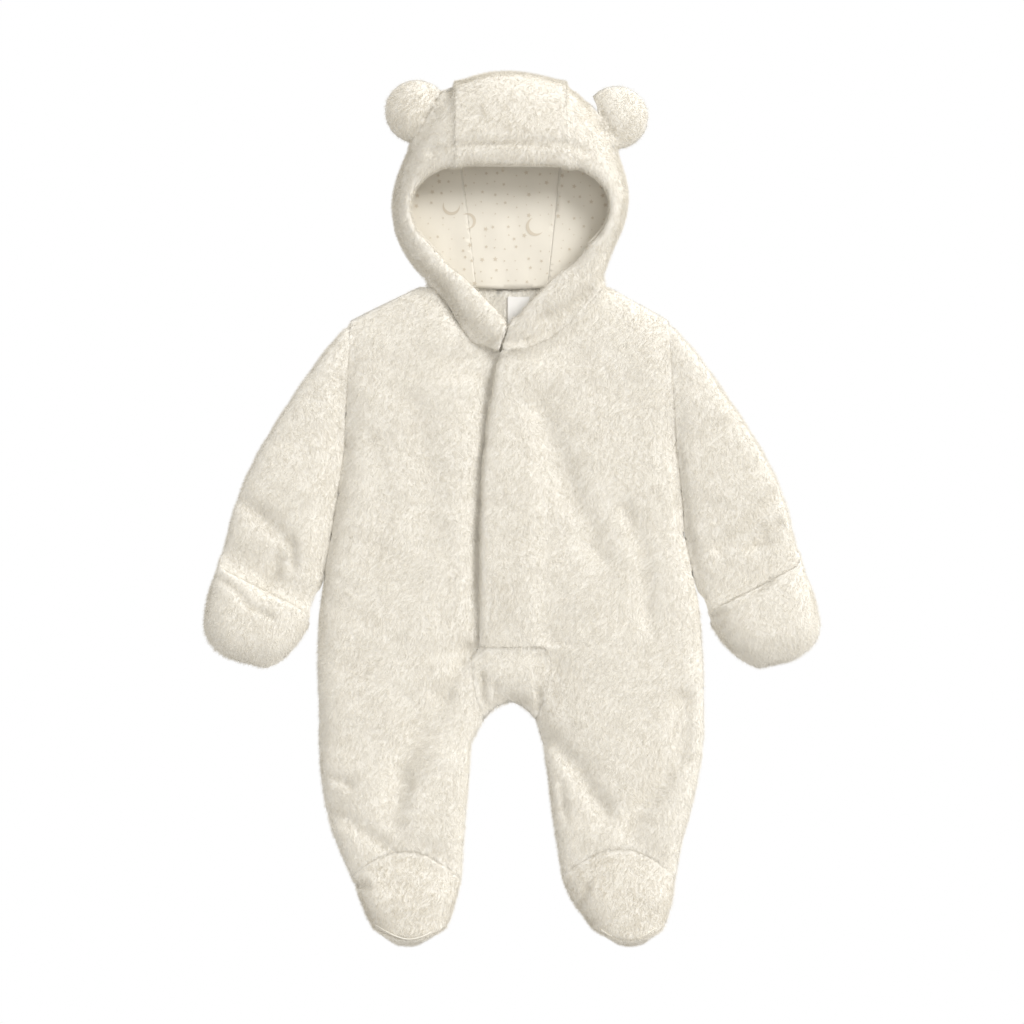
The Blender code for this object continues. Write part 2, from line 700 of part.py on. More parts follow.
def sleeve(name, table, armhole):
    """A flattened tube, seamed along the body side, from the armhole to the cuff inside the mitt."""
    outer = []
    inner = []
    for index, row in enumerate(table):
        pressed = smooth((index - CUFF_START) / 2.0)
        line = row_points(row)
        start = Vector(line[0])
        end = Vector(line[-1])
        along = (end - start).normalized()
        rings = ([], [], [], [])
        for x, y in line:
            from_start = (Vector((x, y)) - start).length
            from_end = (Vector((x, y)) - end).length
            distance = min(from_start, from_end)
            turn = quarter(distance / EDGE_ROLL)
            puff = CROWN * (1.0 - math.exp(-((distance / CROWN_REACH) ** 2)))
            full = (SEAM_LEVEL + puff - folds(x, y) - seam_dip(x, y, [armhole])) * turn
            rise = mix(full, min(full, CUFF_WALL * turn), pressed)
            shift = max(WALL - distance / 2.0, 0.0) * (1.0 if from_start < from_end else -1.0)
            inner_x = x + along.x * shift
            inner_y = y + along.y * shift
            depth = smooth(distance / EDGE_ROLL)
            rings[0].append((x, y, SEAM_LEVEL + rise))
            rings[1].append((x, y, SEAM_LEVEL * (1.0 - turn)))
            high = SEAM_LEVEL + mix(SLEEVE_SLIT, HOLLOW, depth) * (1.0 - 0.6 * pressed)
            low = SEAM_LEVEL - mix(SLEEVE_SLIT, UNDER_HOLLOW, depth)
            rings[2].append((inner_x, inner_y, high))
            rings[3].append((inner_x, inner_y, low))
        outer.append(rings[0] + rings[1][-2:0:-1])
        inner.append(rings[2] + rings[3][-2:0:-1])
    return wall_between(name, outer, inner, PLUSH, tube=True)


def mitt_outline(table):
    return side_line(table) + row_line(table[-1])[1:-1] + mid_line(table)[::-1]


def mitt_front(name, table):
    """The folded-over upper layer of the mitt, whose straight edge lies free on the sleeve."""
    outline = mitt_outline(table)
    rows = []
    for index, row in enumerate(table):
        over_sleeve = 1.0 if index <= CUFF_ROW else 0.0
        points = []
        for x, y in row_points(row):
            distance = line_distance(x, y, outline)
            turn = quarter(distance / EDGE_ROLL)
            height = MITT_TOP - UPPER_EDGE + CROWN * smooth(distance / 30.0) - folds(x, y)
            top = UPPER_EDGE + height * turn
            clear = SEAM_LEVEL + CUFF_WALL * quarter((distance + 2.0) / EDGE_ROLL) + 0.8
            low = mix(upper_inner(top), min(max(clear, UPPER_EDGE), top), over_sleeve)
            if index == 0:
                low = mix(low, top, 0.5)
                top = low
            points.append((x, y, top, low))
        ends = range(len(points)) if index == len(table) - 1 else (0, -1)
        rows.append(closed_at(points, ends, UPPER_EDGE))
    return layer(name, rows)


def mitt_back(name, table):
    """The under layer of the mitt, from the sleeve's end to the tip."""
    outline = mitt_outline(table[CUFF_ROW:])
    rows = []
    for row in table[CUFF_ROW:]:
        points = []
        for x, y in row_points(row):
            low = under_height(x, y, [outline])
            points.append((x, y, low, lower_inner(low)))
        ends = range(len(points)) if row is table[-1] else (0, -1)
        rows.append(closed_at(points, ends, LOWER_EDGE))
    return layer(name, rows)


def foot_upper(name, table, seam):
    rows = []
    for row in table:
        points = []
        for x, y in row_points(row, PANEL_COLUMNS):
            top = top_height(x, y, BODY_EDGES, [seam])
            points.append((x, y, top, upper_inner(top)))
        rows.append(closed_at(points, (0, -1), UPPER_EDGE))
    return layer(name, rows)


def foot_sole(name, heel, table, toe):
    """The sole: flat under the foot, and turned up round the toes as far as the toe seam."""
    seam = table[-1]
    lip = seam._replace(side_y=seam.side_y - TOE_GAP, mid_y=seam.mid_y - TOE_GAP)
    rows = []
    for row in [heel] + table[2:] + [lip] + toe:
        points = []
        for x, y in row_points(row, PANEL_COLUMNS):
            low = under_height(x, y, BODY_EDGES)
            high = lower_inner(low)
            if row is lip or row in toe:
                high = max(top_height(x, y, BODY_EDGES), LOWER_EDGE)
            points.append((x, y, low, high))
        ends = range(len(points)) if row is toe[-1] else (0, -1)
        rows.append(closed_at(points, ends, LOWER_EDGE))
    return layer(name, rows)


def hood_turn(row, depth):
    """Where a section of the hood reaches the underside, at a depth inside the plush."""
    span = math.hypot(row.edge_x - row.rim_x, row.edge_y - row.rim_y)
    radius = min(SIDE_ROLL, 0.45 * span)
    share = (span - radius) * (span - depth) / span**2
    return mix(row.rim_x, row.edge_x, share), mix(row.rim_y, row.edge_y, share)


def hood_section(row, under, depth):
    """A section of the hood: over the rolled rim, out to the edge and in along the underside."""
    span = math.hypot(row.edge_x - row.rim_x, row.edge_y - row.rim_y)
    shoulder = SHOULDER * row.roll
    radius = min(SIDE_ROLL, 0.45 * span)
    profile = [
        (0.0, row.roll - RIM_EDGE),
        (min(3.0, 0.12 * span), row.roll - 2.0),
        (0.38 * span, row.roll),
        (span - radius, shoulder),
        (span - 0.3 * radius, 0.78 * shoulder),
        (span, 0.46 * shoulder),
        (span - 0.3 * radius, 0.14 * shoulder),
        (span - radius, 0.0),
    ]
    points = []
    for out, z in profile:
        share = out * (span - depth) / span**2
        height = depth + z * (row.roll - 2.0 * depth) / row.roll
        points.append((mix(row.rim_x, row.edge_x, share), mix(row.rim_y, row.edge_y, share), height))
    turn = points[-1]
    for share in (1 / 3, 2 / 3, 1.0):
        points.append((mix(turn[0], under[0], share), mix(turn[1], under[1], share), depth))
    return points


def back_neck_y(x):
    return BACK_NECK_Y + BACK_NECK_RISE * abs(x)


def hood_side_sections(table, side, depth):
    """The sections of one side of the hood. The last two end at the back neck, the others at the seam."""
    start = hood_turn(table[0], depth)
    end = (side * NECK_SEAM_X, back_neck_y(NECK_SEAM_X))
    seamed = len(table) - 2
    sections = []
    for index, row in enumerate(table):
        share = mix(0.05, 1.0, index / (seamed - 1))
        under = (mix(start[0], end[0], share) + side * SEAM, mix(start[1], end[1], share))
        if index >= seamed:
            x = side * (SIDE_NECK_X if index == seamed else CORNER_X - 0.3 * depth)
            under = (x, back_neck_y(x))
        points = hood_section(row, under, depth)
        if index == 0:
            points = [(x + side * SEAM, y, z) for x, y, z in points]
        sections.append(points)
    return sections


def hood_centre_sections(depth):
    sections = []
    last = len(HOOD_CENTRE) - 1
    for index, row in enumerate(HOOD_CENTRE):
        x = mix(-NECK_SEAM_X, NECK_SEAM_X, index / last)
        shift = SEAM if index == 0 else -SEAM if index == last else 0.0
        points = hood_section(row, (x, back_neck_y(x)), depth)
        sections.append([(px + shift, py, pz) for px, py, pz in points])
    return sections


def neck_section(row):
    """A section of the hood at the neck: from the rim over the roll to the neck seam."""
    profile = [
        (0.0, row.roll - RIM_EDGE),
        (0.1, row.roll - 2.0),
        (0.36, row.roll),
        (0.62, mix(NECK_SEAM_TOP, row.roll, 0.86)),
        (0.84, mix(NECK_SEAM_TOP, row.roll, 0.5)),
        (1.0, NECK_SEAM_TOP),
    ]
    points = []
    for share, z in profile:
        points.append((mix(row.rim_x, row.neck_x, share), mix(row.rim_y, row.neck_y, share), z))
    return points


def rim_closed(outer, inner):
    """Brings the two surfaces together along the rim."""
    return [[outer_row[0]] + inner_row[1:] for outer_row, inner_row in zip(outer, inner)]


def hood_side(name, table, neck, side):
    outer = hood_side_sections(table, side, 0.0)
    inner = hood_side_sections(table, side, WALL)
    for row in neck:
        points = neck_section(row)
        outer.append(points)
        inner.append([(x, y, max(z - WALL, UPPER_EDGE + 0.2)) for x, y, z in points])
    return wall_between(name, outer, rim_closed(outer, inner), PLUSH)


def hood_centre():
    outer = hood_centre_sections(0.0)
    inner = hood_centre_sections(WALL)
    return wall_between("hood_centre", outer, rim_closed(outer, inner), PLUSH)


def lining(name, outer, inner):
    """The jersey inside the hood: the plush's own sections, moved in, from just behind the rim."""
    return wall_between(name, [row[1:] for row in outer], [row[1:] for row in inner], JERSEY)


def ear_half(ear, part, sign):
    """One layer of an ear: domed outside and flat where it meets the other layer."""
    low = Vector(ear.low)
    high = Vector(ear.high)
    along = (high - low).normalized()
    middle = (low + high) / 2
    out = Vector((-along.y, along.x))
    if out.dot(middle - Vector((0.0, middle.y))) < 0:
        out = -out
    level = EAR_LEVEL + sign * 0.15
    steps = 8
    rows = []
    for i in range(steps + 1):
        angle = mix(-math.asin(ear.offset / ear.radius), math.pi / 2, i / steps)
        reach = ear.offset + ear.radius * math.sin(angle)
        half = max(ear.radius * math.cos(angle), 1.0)
        points = []
        for j in range(steps + 1):
            across = half * math.sin(mix(-math.pi / 2, math.pi / 2, j / steps))
            place = middle + out * (reach + EAR_STAND) + along * across
            to_edge = ear.radius - math.hypot(reach - ear.offset, across)
            height = EAR_HALF * quarter(max(to_edge, 0.5) / EAR_ROLL)
            points.append((place.x, place.y, level + sign * height, level))
        ends = range(len(points)) if i == steps else (0, -1)
        rows.append(closed_at(points, ends, level))
    return layer(f"{ear.name}_{part}", rows)


def neck_label():
    """The woven label, bare, sewn in the back neck."""
    form = bmesh.new()
    bmesh.ops.create_cube(form, size=1.0)
    size = Vector((LABEL["width"], LABEL["length"], LABEL["thick"])) * MM
    bmesh.ops.scale(form, vec=size, verts=form.verts)
    mesh = bpy.data.meshes.new("neck_label")
    form.to_mesh(mesh)
    form.free()
    label = new_object("neck_label", mesh, TAPE)
    middle = LABEL["level"] + LABEL["thick"] / 2
    label.location = Vector((LABEL["x"], LABEL["y"], middle)) * MM
    return label


for old in list(bpy.data.objects):
    bpy.data.objects.remove(old)
garment = bpy.data.collections.new("footed_sleepsuit")
bpy.context.scene.collection.children.link(garment)

front_right()
front_left()
crotch_gusset()
back("back_right", BACK_RIGHT, -1)
back("back_left", BACK_LEFT, 1)
sleeve("sleeve_right", SLEEVE_RIGHT, ARMHOLE_RIGHT)
sleeve("sleeve_left", SLEEVE_LEFT, ARMHOLE_LEFT)
mitt_front("mitt_right_front", MITT_RIGHT)
mitt_front("mitt_left_front", MITT_LEFT)
mitt_back("mitt_right_back", MITT_RIGHT)
mitt_back("mitt_left_back", MITT_LEFT)
foot_upper("foot_upper_right", FOOT_RIGHT, INSTEP_RIGHT)
foot_upper("foot_upper_left", FOOT_LEFT, INSTEP_LEFT)
foot_sole("foot_sole_right", HEEL_RIGHT, FOOT_RIGHT, TOE_RIGHT)
foot_sole("foot_sole_left", HEEL_LEFT, FOOT_LEFT, TOE_LEFT)
hood_centre()
hood_side("hood_side_right", HOOD_RIGHT, NECK_RIGHT, -1)
hood_side("hood_side_left", HOOD_LEFT, NECK_LEFT, 1)
LINING_FACE = WALL + 0.4
LINING_BACK = LINING_FACE + LINING
lining("hood_lining_centre", hood_centre_sections(LINING_FACE), hood_centre_sections(LINING_BACK))
for side_name, hood_table, side_sign in (("right", HOOD_RIGHT, -1), ("left", HOOD_LEFT, 1)):
    lining(
        f"hood_lining_{side_name}",
        hood_side_sections(hood_table, side_sign, LINING_FACE)[:-1],
        hood_side_sections(hood_table, side_sign, LINING_BACK)[:-1],
    )
for ear_spec in EARS:
    ear_half(ear_spec, "front", 1)
    ear_half(ear_spec, "back", -1)
neck_label()
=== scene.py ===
"""Looks of the baby's footed plush all-in-one, laid flat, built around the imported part.

Each plush piece is a thick shell on its solid's own form, with softer and finer creases, and short blades of
pile stand on it. The hood is lined with a jersey printed with stars and moons.
"""

import math

import bmesh
import bpy
import numpy as np
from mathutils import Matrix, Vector
from mathutils.bvhtree import BVHTree
from mathutils.kdtree import KDTree


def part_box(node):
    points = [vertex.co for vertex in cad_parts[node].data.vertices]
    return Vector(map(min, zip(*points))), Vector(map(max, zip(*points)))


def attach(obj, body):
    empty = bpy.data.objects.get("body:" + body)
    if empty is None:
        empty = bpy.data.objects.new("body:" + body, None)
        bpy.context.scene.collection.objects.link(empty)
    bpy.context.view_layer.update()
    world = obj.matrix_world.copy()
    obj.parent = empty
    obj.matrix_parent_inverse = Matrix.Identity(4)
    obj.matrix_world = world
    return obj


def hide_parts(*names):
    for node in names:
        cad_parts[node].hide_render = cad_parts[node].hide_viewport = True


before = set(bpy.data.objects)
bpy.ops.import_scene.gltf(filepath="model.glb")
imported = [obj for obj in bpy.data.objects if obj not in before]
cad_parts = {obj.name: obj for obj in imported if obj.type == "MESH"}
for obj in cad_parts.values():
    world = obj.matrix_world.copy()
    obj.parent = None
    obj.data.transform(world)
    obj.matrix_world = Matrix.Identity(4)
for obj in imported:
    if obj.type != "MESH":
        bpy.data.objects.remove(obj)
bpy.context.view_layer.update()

MM = 0.001

# Shells: the form of the plush under its pile.
SHELL_EDGE = 6.0 * MM  # longest edge
SHELL_SMOOTHING = 24  # rounds of smoothing
SEAM_FIXED = 0.8 * MM  # points this near to a seam aren't smoothed
SEAM_FREE = 4 * MM  # and those this much farther off are wholly
NEIGHBOUR_REACH = 20 * MM  # no farther neighbour is looked for
GAP_REACH = 5.0 * MM  # gaps up to this wide are closed
V_REACH = 8.0 * MM  # and up to this wide where the two sides of the hood meet
CLOSE_SHARE = 0.6  # how much of a gap each of its two sides closes
CLOSE_RISE = 2.5  # the closing starts this steeply at the reach's end
EAR_TUCK = 3.0 * MM  # how far the base of an ear goes under the hood's pile
TUCK_LEAST = 0.5 * MM
NORMAL_REACH = 3.5 * MM  # normals are shared this far across a seam
INSET = 0.5 * MM  # how far a shell stands inside its solid where it shows
FLOOR_CLEAR = 0.4 * MM  # the shells stay this far above the floor
UPPER_LEVEL = 14 * MM  # only points above this belong to the upper side of a seam
CREASE_LEVEL = 13 * MM  # nothing below this is creased
CREASE_STRENGTH = 1.7
DEEPEST = 5.0 * MM  # no crease goes deeper
COVER_START = 1.2 * MM  # from here to COVER_REACH above a point, another layer covers it
COVER_REACH = 9.0 * MM
FACE_START = 0.3 * MM  # the same for a face, which then has no pile
FACE_REACH = 14 * MM

# Pile: blades of one triangle each.
PILE = 4.0 * MM  # length
BLADE_WIDTH = 0.40 * MM
BLADE_TOTAL = 700_000
BLADES_A_PIECE = 180_000
CLUMP = 4.2 * MM  # size of the tufts that the pile gathers into
CLUMP_PULL = 0.12
BLADE_LIFT = 0.85  # radians from the cloth
BLADE_SWAY = 0.6  # how far the blades lean to the side
SEAM_REACH = 5.0 * MM  # the pile is short this near to a seam
SEAM_SHORT = 0.7  # its length on the seam, as a share
UNDER_SHORT = 0.35  # its length on the side that lies on the floor
UNDER_SHARE = 0.10  # its density there
SIDE_EXTRA = 0.8  # extra density on faces that stand upright
TIP_CLEAR = 0.3 * MM  # tips stay this far above the floor
QUICK_WIDTH = 2.5

# Colours, linear.
SKY = (1.0, 0.975, 0.935, 1.0)
PLUSH = (0.86, 0.82, 0.72)
PLUSH_DARK = (0.81, 0.775, 0.70)
PLUSH_LIGHT = (0.93, 0.915, 0.875)
JERSEY = (0.83, 0.785, 0.69)
PRINT = (0.68, 0.61, 0.50)
SEAM = (0.86, 0.83, 0.75)
TAPE = (0.9, 0.89, 0.87)
GLOW_SHARE = 0.4  # how much of the pile's light comes through it

# Light and camera.
SKY_STRENGTH = 0.67
SUN_STRENGTH = 2.5
SUN_WIDTH = math.radians(25)
SUN_WAY = (-0.85, -0.75, -0.9)
FLOOR_SIZE = 12
CAMERA_DISTANCE = 5.5
CAMERA_LEVEL = 0.025  # the height at which the picture's width is measured
CAMERA_X = 0.4 * MM
CAMERA_Y = -1.7 * MM
PICTURE_WIDTH = 0.891
SENSOR = 36

# Flat cuts of the pieces: width, length and area.
CUTS = {
    "front_right": (0.19, 0.52, 0.077),
    "front_left": (0.20, 0.52, 0.078),
    "crotch_gusset": (0.07, 0.065, 0.0038),
    "back_right": (0.17, 0.52, 0.078),
    "back_left": (0.17, 0.52, 0.078),
    "sleeve_right": (0.22, 0.27, 0.040),
    "sleeve_left": (0.22, 0.27, 0.040),
    "mitt_right_front": (0.11, 0.11, 0.0085),
    "mitt_left_front": (0.11, 0.11, 0.0085),
    "mitt_right_back": (0.11, 0.09, 0.0065),
    "mitt_left_back": (0.11, 0.09, 0.0065),
    "foot_upper_right": (0.11, 0.08, 0.0062),
    "foot_upper_left": (0.11, 0.08, 0.0062),
    "foot_sole_right": (0.11, 0.08, 0.0062),
    "foot_sole_left": (0.11, 0.08, 0.0062),
    "hood_centre": (0.10, 0.32, 0.028),
    "hood_side_right": (0.16, 0.25, 0.022),
    "hood_side_left": (0.16, 0.25, 0.022),
    "ear_right_front": (0.060, 0.056, 0.0024),
    "ear_right_back": (0.060, 0.056, 0.0024),
    "ear_left_front": (0.060, 0.056, 0.0024),
    "ear_left_back": (0.060, 0.056, 0.0024),
}
LININGS = {
    "hood_lining_centre": (0.10, 0.26, 0.023),
    "hood_lining_right": (0.12, 0.18, 0.011),
    "hood_lining_left": (0.12, 0.18, 0.011),
}
# How light the pile of a piece is, from 0 to 1, where it isn't 0.5. The lower values are painted shade on
# pieces of the same plush.
PAINTED_SHADE_TINTS = {
    "ear_left_front": 0.3,
    "ear_right_front": 0.1,
    "foot_upper_right": 0.2,
    "foot_upper_left": 0.2,
    "hood_centre": 0.25,
    "hood_side_right": 0.3,
    "hood_side_left": 0.35,
}
# Pieces of the underside.
LOWER = {
    "back_right",
    "back_left",
    "mitt_right_back",
    "mitt_left_back",
    "foot_sole_right",
    "foot_sole_left",
    "ear_right_back",
    "ear_left_back",
}

# Seams that the pile bridges: the two pieces, and how far the groove between them is filled, from 0 to 1.
SOFT_SEAMS = [
    ("hood_side_left", "front_left", 1.0),
    ("hood_centre", "hood_side_left", 0.9),
    ("hood_centre", "hood_side_right", 0.7),
    ("hood_side_right", "ear_right_front", 0.7),
    ("hood_side_left", "ear_left_front", 0.9),
    ("hood_side_right", "hood_side_left", 0.8),
    ("hood_side_right", "front_left", 0.5),
    ("front_right", "foot_upper_right", 0.85),
    ("front_left", "foot_upper_left", 0.85),
    ("front_left", "crotch_gusset", 0.9),
    ("front_right", "crotch_gusset", 0.6),
    ("sleeve_right", "mitt_right_front", 0.35),
    ("sleeve_left", "mitt_left_front", 0.35),
    ("front_left", "sleeve_left", 0.4),
]
FILL_REACH = 8.0 * MM  # the groove is filled this far on both sides
BANK_REACH = 14.0 * MM  # to the height of the stretch between FILL_REACH and this
BANK_POINTS = 4  # points of each side that a point of the groove is filled from
BANK_SOFTNESS = 2 * MM
FILL_RISE = 1.6  # the fill starts this steeply at its reach's end
HIDDEN_SEAM = {"hood_side_left", "front_left"}  # the pile covers the seam between these two

# Creases in millimetres: points, depth (a ridge where it is negative) and half width.
CREASES = [
    ([(-39, -121), (-47, -136), (-55, -152), (-62, -166)], 3.5, 6),
    ([(-62, -166), (-80, -192), (-95, -218), (-101, -270)], 2.4, 11),
    ([(-58, -218), (-80, -245), (-95, -268)], -1.2, 9),
    ([(-152, -264), (-130, -278), (-112, -290)], 1.7, 7),
    ([(-154, -234), (-140, -240)], 1.5, 4),
    ([(34, -198), (57, -226), (82, -264)], 2.2, 8),
    ([(43, -238), (48, -268)], 1.5, 4),
    ([(150, -166), (147, -214), (119, -248), (103, -276)], 3.5, 9),
    ([(25, 85), (50, 20), (77, -40)], 1.8, 11),
    ([(98, 2), (114, -35), (119, -96)], 1.6, 8),
    ([(-86, 92), (-70, 30), (-74, -30)], 0.9, 12),
    ([(-120, 60), (-112, 20), (-118, -30)], 0.6, 10),
    ([(-60, -20), (-50, -60), (-60, -95)], 0.7, 9),
    ([(228, 12), (205, -12), (181, -32)], 3.5, 6),
    ([(232, -12), (212, -28)], 2.5, 5),
    ([(205, -34), (220, -27)], 2.0, 4),
    ([(-214, -66), (-206, -56), (-203, -44)], 2.6, 6),
    ([(-191, -30), (-190, -50)], 2.0, 4),
    ([(-257, -58), (-244, -65), (-234, -76), (-228, -84), (-208, -93)], 1.6, 3),
    ([(226, -60), (216, -69), (204, -78), (190, -88), (176, -92)], 1.6, 3),
    ([(-135, -327), (-127, -327)], 3.0, 4),
    ([(-148, 110), (-148, 83), (-155, 58), (-160, 12), (-166, -17), (-172, -50)], 1.8, 8),
    ([(66, -329), (60, -345)], 2.4, 4),
    ([(-232, 6), (-196, -26)], 2.0, 8),
    ([(-25, -142), (-25, -164)], 1.6, 3),
    ([(-15, -150), (-14, -160)], 1.2, 3),
    ([(24, -156), (24, -172)], 1.6, 3),
    ([(-80, 212), (-62, 196), (-46, 165)], 3.0, 5),
    ([(75, 242), (46, 221), (11, 186)], 3.0, 4),
    ([(68, 190), (48, 176), (28, 166)], 2.0, 5),
    ([(-9, 139), (16, 141), (36, 150), (52, 163), (66, 177), (77, 190)], -1.8, 6),
    ([(-70, 309), (-49, 317), (0, 318), (49, 317), (66, 310)], 1.6, 3),
]
# Slight waves all over the cloth: height, size and seed.
CLOTH_WAVES = [(0.5 * MM, 0.07, 5), (0.3 * MM, 0.03, 6)]

# The print, in millimetres: crescent moons as (x, y, radius, turn in degrees), and small stars and dots.
MOONS = [
    (-52.6, 264.5, 7.5, 80),
    (-38, 252, 7.0, 195),
    (20.5, 247, 8.0, 35),
]
MOON_POINTS = 18
MOON_OUTER = (68, 292)  # degrees from where the outer edge starts to where it ends, and the inner edge's
MOON_INNER = (84, 276)
MOON_SHIFT = 0.3  # the inner edge's centre and radius, as shares of the outer radius
MOON_BITE = 0.92
MOTIF_GAP = 9.5  # spacing of the small motifs
MOTIF_WANDER = 3
MOTIF_X = (-100, 100)
MOTIF_Y = (190, 300)
MOTIF_SIZES = [0.8, 1.1, 1.7, 2.3]
MOTIF_SHARES = [0.35, 0.3, 0.2, 0.15]
STAR_SIZE = 1.5  # a larger motif has five points, and a smaller one three
STAR_WAIST = 0.45
MOON_CLEAR = 2
PRINT_LIFT = 0.25 * MM
JERSEY_LIFT = 0.5 * MM
ABOVE_ALL = 0.1  # height from which points are dropped on the cloth

# Toe seams: the row of holding stitches, from the outer side to the inner, in millimetres.
TOE_SEAMS = {
    "right": [(-118, -361), (-108, -367.5), (-96, -372.5), (-88, -373.5), (-78, -371.5), (-70, -367)],
    "left": [(126, -363), (116, -370.5), (104, -374.5), (96, -374), (86, -371), (78, -365)],
}
TOE_PIPE = 0.55 * MM
TOE_LIFT = 1.8 * MM
TOE_LEVEL = 20 * MM  # height where no cloth lies below the row


def polyline_distance(xy, points):
    """Distance of each point from a line through the points given, in metres."""
    best = np.full(len(xy), np.inf)
    corners = np.array(points, float) * MM
    for start, end in zip(corners[:-1], corners[1:]):
        run = end - start
        along = np.clip(((xy - start) @ run) / (run @ run), 0.0, 1.0)
        best = np.minimum(best, np.linalg.norm(xy - start - along[:, None] * run, axis=1))
    return best


def waves(places, size, seed):
    """A smooth field from about -1 to 1, from a few sine waves of a size in metres."""
    rng = np.random.default_rng(seed)
    field = np.zeros(len(places))
    for _ in range(6):
        direction = rng.normal(size=3)
        direction /= np.linalg.norm(direction)
        pitch = (2 * math.pi / size) * rng.uniform(0.7, 1.5)
        field += np.sin(places @ direction * pitch + rng.uniform(0, 6.28))
    return field / 2.6


def mesh_arrays(mesh):
    places = np.zeros(len(mesh.vertices) * 3)
    mesh.vertices.foreach_get("co", places)
    mesh.calc_loop_triangles()
    triangles = np.zeros(len(mesh.loop_triangles) * 3, int)
    mesh.loop_triangles.foreach_get("vertices", triangles)
    return places.reshape(-1, 3), triangles.reshape(-1, 3)


def vertex_normals(mesh):
    normals = np.zeros(len(mesh.vertices) * 3)
    mesh.vertex_normals.foreach_get("vector", normals)
    return normals.reshape(-1, 3)


def evaluated_mesh(obj):
    depsgraph = bpy.context.evaluated_depsgraph_get()
    return bpy.data.meshes.new_from_object(obj.evaluated_get(depsgraph))


def fine_copy(node):
    """A copy of a solid whose edges are all short."""
    form = bmesh.new()
    form.from_mesh(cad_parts[node].data)
    bmesh.ops.remove_doubles(form, verts=form.verts, dist=0.01 * MM)
    bmesh.ops.triangulate(form, faces=form.faces)
    for _ in range(5):
        longest = [edge for edge in form.edges if edge.calc_length() > SHELL_EDGE]
        if not longest:
            break
        bmesh.ops.subdivide_edges(form, edges=longest, cuts=1)
        bmesh.ops.triangulate(form, faces=form.faces)
    mesh = bpy.data.meshes.new(f"shell_{node}")
    form.to_mesh(mesh)
    form.free()
    obj = bpy.data.objects.new(mesh.name, mesh)
    bpy.context.scene.collection.objects.link(obj)
    return obj


def smoothed(mesh, free, rounds):
    """Evens out the facets of the solid. free is 0 for points that stay."""
    places = mesh_arrays(mesh)[0]
    count = len(places)
    edges = np.zeros(len(mesh.edges) * 2, int)
    mesh.edges.foreach_get("vertices", edges)
    ends = edges.reshape(-1, 2)
    number = np.maximum(np.bincount(ends.ravel(), minlength=count), 1)
    for _ in range(rounds):
        mean = np.zeros_like(places)
        for axis in range(3):
            mean[:, axis] += np.bincount(ends[:, 0], places[ends[:, 1], axis], count)
            mean[:, axis] += np.bincount(ends[:, 1], places[ends[:, 0], axis], count)
        mean /= number[:, None]
        places += (mean - places) * 0.5 * free[:, None]
    return places


def closed_up(places, node, nodes):
    """Brings a smoothed edge back to its neighbour, so that no light shows between two pieces."""
    reach = V_REACH if node.startswith("hood_side") else GAP_REACH
    family = node.rsplit("_", 1)[0] if node.startswith("ear") else node
    tree = tree_of([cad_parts[name] for name in nodes if not name.startswith(family)])
    result = places.copy()
    for index, place in enumerate(places):
        point, _, _, distance = tree.find_nearest(Vector(place), reach)
        if distance is None:
            continue
        share = CLOSE_SHARE * min(1.0, CLOSE_RISE * (1.0 - distance / reach))
        if node.startswith("ear"):
            share *= 1.0 + EAR_TUCK / max(distance, TUCK_LEAST)
        result[index, 0] += (point.x - place[0]) * share
        result[index, 1] += (point.y - place[1]) * share
    return result


def flat_tree(places):
    """A search tree of points that leaves their heights out."""
    tree = KDTree(len(places))
    for index, place in enumerate(places):
        tree.insert((place[0], place[1], 0.0), index)
    tree.balance()
    return tree


def bank_level(place, trees, banks):
    """Height of the cloth beside a groove, from the nearest points on both sides."""
    weights = []
    levels = []
    for tree, bank in zip(trees, banks):
        for _, number, reach in tree.find_n((place[0], place[1], 0.0), BANK_POINTS):
            weights.append(1.0 / (reach + BANK_SOFTNESS) ** 2)
            levels.append(bank[number, 2])
    return np.average(levels, weights=weights)


def filled_seams(shells):
    """Fills the grooves of the soft seams from the heights on both sides."""
    for first, second, share in SOFT_SEAMS:
        banks = []
        pair = []
        for name, other in ((first, second), (second, first)):
            shell = shells[name]
            places = mesh_arrays(shell.data)[0]
            normals = vertex_normals(shell.data)
            tree = tree_of([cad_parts[other]])
            found = [tree.find_nearest(Vector(place), BANK_REACH)[3] for place in places]
            distance = np.array([BANK_REACH if reach is None else reach for reach in found])
            upper = (normals[:, 2] > 0.1) & (places[:, 2] > UPPER_LEVEL)
            banks.append(places[upper & (distance > FILL_REACH) & (distance < BANK_REACH)])
            pair.append((shell, places, upper & (distance < FILL_REACH), distance))
        if min(len(bank) for bank in banks) < BANK_POINTS:
            continue
        trees = [flat_tree(bank) for bank in banks]
        for shell, places, near, distance in pair:
            for index in np.flatnonzero(near):
                level = bank_level(places[index], trees, banks)
                blend = share * min(1.0, FILL_RISE * (1.0 - distance[index] / FILL_REACH))
                places[index, 2] += max(level - places[index, 2], 0.0) * blend
            shell.data.vertices.foreach_set("co", places.ravel())
            shell.data.update()


def shared_normals(shells):
    """Normals of all the shells, averaged with the neighbours' across a seam, so that seams stay closed."""
    places = np.concatenate([mesh_arrays(shell.data)[0] for shell in shells])
    normals = np.concatenate([vertex_normals(shell.data) for shell in shells])
    tree = KDTree(len(places))
    for index, place in enumerate(places):
        tree.insert(place, index)
    tree.balance()
    shared = np.zeros_like(normals)
    for index, place in enumerate(places):
        near = [found[1] for found in tree.find_range(place, NORMAL_REACH)]
        shared[index] = normals[near].mean(axis=0)
    shared /= np.maximum(np.linalg.norm(shared, axis=1, keepdims=True), 0.5)
    result = {}
    start = 0
    for shell in shells:
        count = len(shell.data.vertices)
        result[shell.name] = shared[start : start + count]
        start += count
    return result


